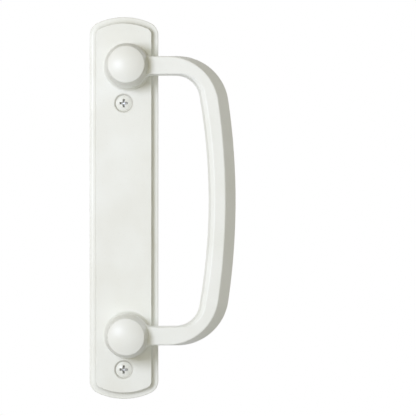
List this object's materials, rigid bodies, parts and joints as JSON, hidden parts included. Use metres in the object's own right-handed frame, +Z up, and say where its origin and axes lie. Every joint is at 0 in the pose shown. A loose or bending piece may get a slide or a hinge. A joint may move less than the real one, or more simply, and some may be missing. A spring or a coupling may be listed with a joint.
{
  "type": "sliding patio door pull handle",
  "caption": "D-shaped pull on domed knobs over a long cove-edged plate, with through screws for a sliding patio door.",
  "frame": {"origin": "centre of the plate's flat back, which lies against the door", "axes": "+Z up along the plate, +Y into the door, -Y to the front, +X across to the grip"},
  "size_m": [0.0872, 0.0829, 0.2288],
  "materials": {
    "casting_paint": "smooth off-white semi-gloss enamel",
    "mounting_screw_finish": "off-white painted head, zinc-plated shank",
    "zinc_plated_steel": "bright zinc plating"
  },
  "bodies": {
    "root": {"escutcheon_plate": "casting_paint", "pull_handle": "casting_paint", "upper_collar": "casting_paint", "lower_collar": "casting_paint", "upper_cap": "casting_paint", "lower_cap": "casting_paint", "upper_mounting_screw": "mounting_screw_finish", "lower_mounting_screw": "mounting_screw_finish", "upper_post_screw": "zinc_plated_steel", "lower_post_screw": "zinc_plated_steel", "upper_lock_washer": "zinc_plated_steel", "lower_lock_washer": "zinc_plated_steel"}
  },
  "joints": []
}
